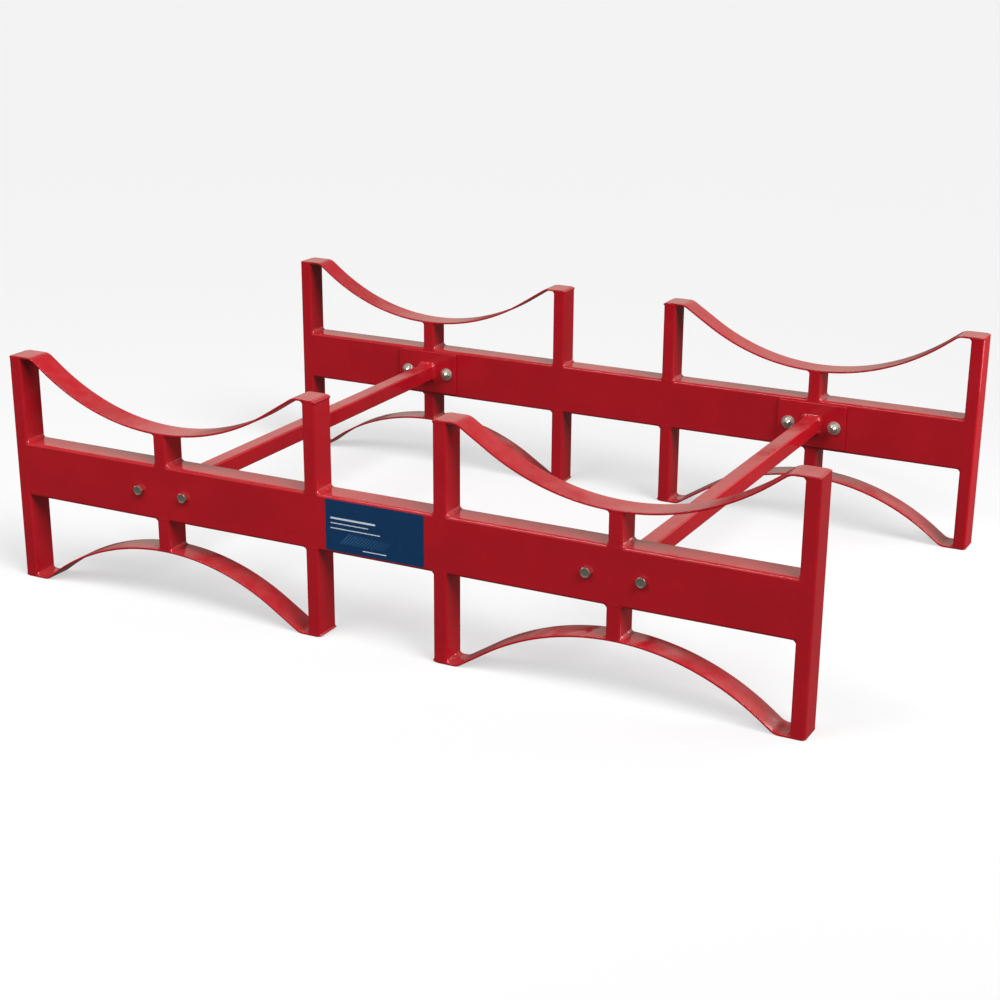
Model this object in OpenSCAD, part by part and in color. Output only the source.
// Two-bay stackable drum storage rack.
// Two welded side frames stand parallel and are tied together by two bolted cross bars.
// X runs along the rails, -Y is the labelled front frame, +Z is up.
// The origin lies on the floor under the middle of the rack.

/* [Overall] */
// Length over the outer faces of the end posts
rack_length = 1200; // [1160:5:1400]
// Depth over the outer faces of the two side frames
rack_depth = 800; // [500:10:1000]
// Height from the feet to the flat tops of the saddles
rack_height = 334; // [320:2:380]

/* [Posts] */
// Width of the post tube along the rack
post_w = 20; // [20:1:30]
// Depth of the post tube across the rack, which is also the depth of the rail
post_d = 40; // [40:1:50]
// Wall thickness of the post tube
post_wall = 2; // [1.5:0.5:2]
// Outer corner radius of the post tube
post_corner_r = 3; // [2.5:0.5:4]

/* [Rails] */
// Height of the rail tube
rail_h = 80; // [74:2:90]
// Wall thickness of the rail tube
rail_wall = 2.5; // [2:0.5:3]
// Outer corner radius of the rail tube
rail_corner_r = 4; // [3.5:0.5:6]

/* [Drum bays] */
// Clear width between the two posts of one bay
bay_w = 472; // [460:2:500]
// Radius of the drum side of the saddles and arches
cradle_r = 330; // [320:1:340]
// Depth of the saddle's lowest point below its flat ends
cradle_sag = 79.8; // [74:0.1:82]
// Height gained per millimetre along a saddle's straight part, on the side of the rack's middle
inner_rise = 0.5376; // [0.5:0.0001:0.62]
// Height gained per millimetre along a saddle's straight part, on the side of the rack's end
outer_rise = 0.6; // [0.5:0.0001:0.62]
// Thickness of the flat bar that saddles and arches are bent from
strap_t = 3; // [2.5:0.5:4]
// Outer radius of the bend between a saddle's straight part and its flat end
shoulder_r = 21; // [15:0.5:22]

/* [Cross bars] */
// Outside width and height of the square cross bar tube
bar_size = 25; // [20:1:30]
// Wall thickness of the cross bar tube
bar_wall = 2; // [1.5:0.5:2.5]
// Outer corner radius of the cross bar tube
bar_corner_r = 3; // [3:0.5:4]
// Width of the bolted end plate
plate_w = 110; // [100:2:130]
// Height of the bolted end plate
plate_h = 70; // [60:2:70]
// Thickness of the bolted end plate
plate_t = 4; // [3:0.5:6]

/* [Fasteners] */
// Distance between the two bolts of one end plate
bolt_spacing = 75; // [66:1:80]
// Diameter of the bolt shank
bolt_d = 8; // [6:1:8]
// Diameter of the bolt holes
bolt_hole_d = 9; // [8.5:0.5:10]
// Length of the bolt under its head
bolt_length = 55; // [54:1:65]
// Size across the flats of the bolt head and the nut
hex_flats = 13; // [12:0.5:15]
// Height of the bolt head
head_h = 5.3; // [4.5:0.1:6]
// Height of the lock nut
nut_h = 8; // [6.5:0.5:8]
// Outside diameter of the washer
washer_d = 21; // [17:1:24]
// Thickness of the washer
washer_t = 1.6; // [1.2:0.2:2]

/* [Trim] */
// Width of the front label
label_w = 150; // [100:5:170]
// Height of the front label
label_h = 72; // [50:1:72]
// Leg length of the fillet welds
weld_leg = 5; // [3:0.5:6]

/* [Hidden] */

$fn = 64;
FRONT = -1;
BACK = 1;
LEFT = -1;
RIGHT = 1;
STEEL_RED = [0.62, 0.09, 0.13];
ZINC = [0.78, 0.79, 0.76];
LABEL_BLUE = [0.08, 0.20, 0.36];

// Number of sides for the long, shallow arcs
arc_fn = 360;
// Clearance between the nut's bore and the bolt
thread_gap = 0.1;
// Clearance between the washer's bore and the bolt
washer_gap = 0.5;
// Thickness of the label
label_t = 0.3;
// Overshoot of cutting bodies past the faces that they cut
cut = 1;

mid_z = rack_height / 2;
rail_top = mid_z + rail_h / 2;
rail_bottom = mid_z - rail_h / 2;
post_top = rack_height - strap_t;
frame_y = (rack_depth - post_d) / 2;
end_post_x = (rack_length - post_w) / 2;
bay_x = (rack_length - bay_w) / 2 - post_w;
inner_post_x = bay_x - (bay_w + post_w) / 2;
strap_half = bay_w / 2 + post_w;
saddle_low = rack_height - cradle_sag;
stub_h = saddle_low - strap_t - rail_top;
// Steepness of the straight parts of a saddle. For these two rises, this cradle radius, sag and
// shoulder radius, every sine, cosine and bend centre has few decimals, so that arcs and straights
// still meet after the STEP export rounds to six digits. Other values may not give closed solids,
// so they have to be packed before they are used.
inner_flank = asin(inner_rise);
outer_flank = asin(outer_rise);
// Centre of the cradle's arc in a saddle's side view
cradle_centre = [0, saddle_low + cradle_r];
rail_inner_y = rack_depth / 2 - post_d;
bar_length = 2 * (rail_inner_y - plate_t);

// Rectangle with rounded corners, centred on the origin
module rounded_rect(w, h, r) {
    square([w - 2 * r, h], center = true);
    square([w, h - 2 * r], center = true);
    for (sx = [-1, 1], sy = [-1, 1])
        translate([sx * (w / 2 - r), sy * (h / 2 - r)])
            circle(r);
}

// Wall of a rectangular tube, seen along the tube
module tube_section(w, h, wall, r) {
    difference() {
        rounded_rect(w, h, r);
        rounded_rect(w - 2 * wall, h - 2 * wall, r - wall);
    }
}

// Direction from a strap towards the drum, where the strap climbs at this angle
function to_drum(angle) = [-sin(angle), cos(angle)];

// Point on the drum side where the cradle's arc runs over into a straight flank
function flank_start(angle) = cradle_centre - cradle_r * to_drum(angle);

// Point past the arc's outer side, on the line that divides the arc from a flank
function arc_limit(angle) = cradle_centre - (cradle_r + 2 * strap_t) * to_drum(angle);

// Centre of the bend that joins a flank to the flat end beside it
function shoulder_centre(angle) = [
    flank_start(angle).x + (rack_height - flank_start(angle).y) / tan(angle)
        + shoulder_r * tan(angle / 2),
    rack_height - shoulder_r,
];

// Part of a bent flat bar inside a sector of the side view. The circles move by whole
// millimetres first and by the rest after that, so that no decimal of the centre is lost.
module bend(centre, r_in, r_out, sector) {
    whole = [floor(centre.x), floor(centre.y)];
    intersection() {
        translate(whole)
            translate(centre - whole)
                difference() {
                    circle(r_out, $fn = arc_fn);
                    circle(r_in, $fn = arc_fn);
                }
        polygon(sector);
    }
}

// Straight flank, shoulder bend and flat end on the right side of a saddle
module saddle_side(angle) {
    centre = shoulder_centre(angle);
    bend_limit = centre + 2 * shoulder_r * to_drum(angle);
    intersection() {
        translate(cradle_centre)
            rotate(angle)
                translate([-strap_t, -cradle_r - strap_t])
                    square([strap_half, strap_t]);
        polygon([cradle_centre, arc_limit(angle), centre, bend_limit]);
    }
    bend(centre, shoulder_r - strap_t, shoulder_r,
         [centre, bend_limit, centre + [0, 2 * shoulder_r]]);
    polygon([
        [centre.x, post_top],
        [strap_half, post_top],
        [strap_half, rack_height],
        [centre.x, rack_height],
    ]);
}

// Side view of a saddle strap; its right side is the one towards the rack's middle
module saddle_outline() {
    inner = arc_limit(inner_flank);
    outer = arc_limit(-outer_flank);
    below = saddle_low - 2 * strap_t;
    bend(cradle_centre, cradle_r, cradle_r + strap_t,
         [cradle_centre, inner, [inner.x, below], [outer.x, below], outer]);
    saddle_side(inner_flank);
    mirror([1, 0])
        saddle_side(outer_flank);
}

// Extrudes an X-Z outline along Y, centred on the chosen side frame
module across_frame(side, width = post_d) {
    translate([0, side * frame_y, 0])
        rotate([90, 0, 0])
            linear_extrude(height = width, center = true)
                children();
}

module bolt_holes(side) {
    for (bay = [LEFT, RIGHT], s = [-1, 1])
        translate([bay * bay_x + s * bolt_spacing / 2, side * frame_y, mid_z])
            rotate([90, 0, 0])
                cylinder(h = post_d + 2 * (plate_t + cut), d = bolt_hole_d, center = true);
}

module rail(side) {
    color(STEEL_RED)
        difference() {
            translate([0, side * frame_y, mid_z])
                rotate([90, 0, 90])
                    linear_extrude(height = rack_length - 2 * post_w, center = true)
                        tube_section(post_d, rail_h, rail_wall, rail_corner_r);
            bolt_holes(side);
        }
}

// One vertical tube from z_low to z_high, centred at x in the chosen frame
module post(side, x, z_low, z_high) {
    color(STEEL_RED)
        translate([x, side * frame_y, z_low])
            linear_extrude(height = z_high - z_low)
                tube_section(post_w, post_d, post_wall, post_corner_r);
}

module end_post(side, end) {
    post(side, end * end_post_x, strap_t, post_top);
}

module inner_post_upper(side, end) {
    post(side, end * inner_post_x, rail_top, post_top);
}

module inner_post_lower(side, end) {
    post(side, end * inner_post_x, strap_t, rail_bottom);
}

// Short tube under the middle of a saddle, with its top cut to the saddle's curve
module mid_stub_upper(side, bay) {
    color(STEEL_RED)
        difference() {
            post(side, bay * bay_x, rail_top, saddle_low);
            translate([bay * bay_x, 0, 0])
                across_frame(side, post_d + 2 * cut)
                    translate(cradle_centre)
                        circle(cradle_r + strap_t, $fn = arc_fn);
        }
}

module mid_stub_lower(side, bay) {
    translate([0, 0, rack_height])
        mirror([0, 0, 1])
            mid_stub_upper(side, bay);
}

// Curved strap that a drum lies in
module saddle(side, bay) {
    color(STEEL_RED)
        translate([bay * bay_x, 0, 0])
            across_frame(side)
                mirror([bay == RIGHT ? 1 : 0, 0])
                    saddle_outline();
}

// The same strap upside down: its flat ends are the feet
module arch(side, bay) {
    color(STEEL_RED)
        translate([bay * bay_x, 0, rack_height])
            mirror([0, 0, 1])
                across_frame(side)
                    mirror([bay == RIGHT ? 1 : 0, 0])
                        saddle_outline();
}

module cross_bar(bay) {
    color(STEEL_RED)
        translate([bay * bay_x, 0, mid_z])
            rotate([90, 0, 0])
                linear_extrude(height = bar_length, center = true)
                    tube_section(bar_size, bar_size, bar_wall, bar_corner_r);
}

module end_plate(bay, side) {
    color(STEEL_RED)
        difference() {
            translate([bay * bay_x, side * (rail_inner_y - plate_t / 2), mid_z])
                cube([plate_w, plate_t, plate_h], center = true);
            bolt_holes(side);
        }
}

// Puts a fastener drawn along +Z at each bolt, with z = 0 on the rail's outer face, +Z inwards
module at_each_bolt() {
    for (side = [FRONT, BACK], bay = [LEFT, RIGHT], s = [-1, 1])
        translate([bay * bay_x + s * bolt_spacing / 2, side * rack_depth / 2, mid_z])
            rotate([side * 90, 0, 0])
                children();
}

module hex_prism(height) {
    cylinder(h = height, d = hex_flats / cos(30), $fn = 6);
}

module hex_bolts() {
    color(ZINC)
        at_each_bolt() {
            translate([0, 0, -head_h])
                hex_prism(head_h);
            cylinder(h = bolt_length, d = bolt_d);
        }
}

module washers() {
    color(ZINC)
        at_each_bolt()
            translate([0, 0, post_d + plate_t])
                difference() {
                    cylinder(h = washer_t, d = washer_d);
                    translate([0, 0, -cut])
                        cylinder(h = washer_t + 2 * cut, d = bolt_d + 2 * washer_gap);
                }
}

module lock_nuts() {
    color(ZINC)
        at_each_bolt()
            translate([0, 0, post_d + plate_t + washer_t])
                difference() {
                    hex_prism(nut_h);
                    translate([0, 0, -cut])
                        cylinder(h = nut_h + 2 * cut, d = bolt_d + 2 * thread_gap);
                }
}

// Cross-section of a fillet weld, with its corner on the origin and its legs along +X and +Z
module weld_outline() {
    polygon([[0, 0], [weld_leg, 0], [0, weld_leg]]);
}

// Fillet weld in the corner at (x, z), opening towards the signs dx and dz
module frame_weld(side, x, z, dx, dz) {
    translate([x, 0, z])
        mirror([dx < 0 ? 1 : 0, 0, 0])
            mirror([0, 0, dz < 0 ? 1 : 0])
                across_frame(side, post_d - 2 * max(post_corner_r, rail_corner_r))
                    weld_outline();
}

// All fillet welds of one side frame, mirrored left to right and top to bottom
module frame_welds(side) {
    color(STEEL_RED)
        for (end = [LEFT, RIGHT], up = [-1, 1]) {
            rail_z = mid_z + up * rail_h / 2;
            strap_z = mid_z + up * (mid_z - strap_t);
            stub_z = rail_z + up * stub_h;
            half = post_w / 2;
            frame_weld(side, end * (end_post_x - half), rail_z, -end, up);
            frame_weld(side, end * (end_post_x - half), strap_z, -end, -up);
            frame_weld(side, end * (inner_post_x + half), strap_z, end, -up);
            for (s = [-1, 1]) {
                frame_weld(side, end * inner_post_x + s * half, rail_z, s, up);
                frame_weld(side, end * bay_x + s * half, rail_z, s, up);
                frame_weld(side, end * bay_x + s * half, stub_z, s, -up);
            }
        }
}

module front_frame_welds() {
    frame_welds(FRONT);
}

module back_frame_welds() {
    frame_welds(BACK);
}

// Four straight welds round each end of a cross bar
module cross_bar_welds() {
    weld_len = bar_size - 2 * bar_corner_r;
    color(STEEL_RED)
        for (bay = [LEFT, RIGHT], side = [FRONT, BACK], turn = [0, 90, 180, 270])
            translate([bay * bay_x, side * bar_length / 2, mid_z])
                rotate([side * 90, 0, 0])
                    rotate([0, 0, turn])
                        translate([bar_size / 2, 0, 0])
                            rotate([90, 0, 0])
                                linear_extrude(height = weld_len, center = true)
                                    weld_outline();
}

module front_label() {
    color(LABEL_BLUE)
        translate([0, -(rack_depth + label_t) / 2, mid_z])
            cube([label_w, label_t, label_h], center = true);
}

rail(FRONT);  // front_rail
end_post(FRONT, LEFT);  // front_end_post_left
end_post(FRONT, RIGHT);  // front_end_post_right
inner_post_upper(FRONT, LEFT);  // front_inner_post_upper_left
inner_post_upper(FRONT, RIGHT);  // front_inner_post_upper_right
inner_post_lower(FRONT, LEFT);  // front_inner_post_lower_left
inner_post_lower(FRONT, RIGHT);  // front_inner_post_lower_right
mid_stub_upper(FRONT, LEFT);  // front_mid_stub_upper_left
mid_stub_upper(FRONT, RIGHT);  // front_mid_stub_upper_right
mid_stub_lower(FRONT, LEFT);  // front_mid_stub_lower_left
mid_stub_lower(FRONT, RIGHT);  // front_mid_stub_lower_right
saddle(FRONT, LEFT);  // front_saddle_left
saddle(FRONT, RIGHT);  // front_saddle_right
arch(FRONT, LEFT);  // front_arch_left
arch(FRONT, RIGHT);  // front_arch_right
rail(BACK);  // back_rail
end_post(BACK, LEFT);  // back_end_post_left
end_post(BACK, RIGHT);  // back_end_post_right
inner_post_upper(BACK, LEFT);  // back_inner_post_upper_left
inner_post_upper(BACK, RIGHT);  // back_inner_post_upper_right
inner_post_lower(BACK, LEFT);  // back_inner_post_lower_left
inner_post_lower(BACK, RIGHT);  // back_inner_post_lower_right
mid_stub_upper(BACK, LEFT);  // back_mid_stub_upper_left
mid_stub_upper(BACK, RIGHT);  // back_mid_stub_upper_right
mid_stub_lower(BACK, LEFT);  // back_mid_stub_lower_left
mid_stub_lower(BACK, RIGHT);  // back_mid_stub_lower_right
saddle(BACK, LEFT);  // back_saddle_left
saddle(BACK, RIGHT);  // back_saddle_right
arch(BACK, LEFT);  // back_arch_left
arch(BACK, RIGHT);  // back_arch_right
cross_bar(LEFT);  // cross_bar_left
cross_bar(RIGHT);  // cross_bar_right
end_plate(LEFT, FRONT);  // left_bar_plate_front
end_plate(LEFT, BACK);  // left_bar_plate_back
end_plate(RIGHT, FRONT);  // right_bar_plate_front
end_plate(RIGHT, BACK);  // right_bar_plate_back
hex_bolts();
washers();
lock_nuts();
front_frame_welds();
back_frame_welds();
cross_bar_welds();
front_label();
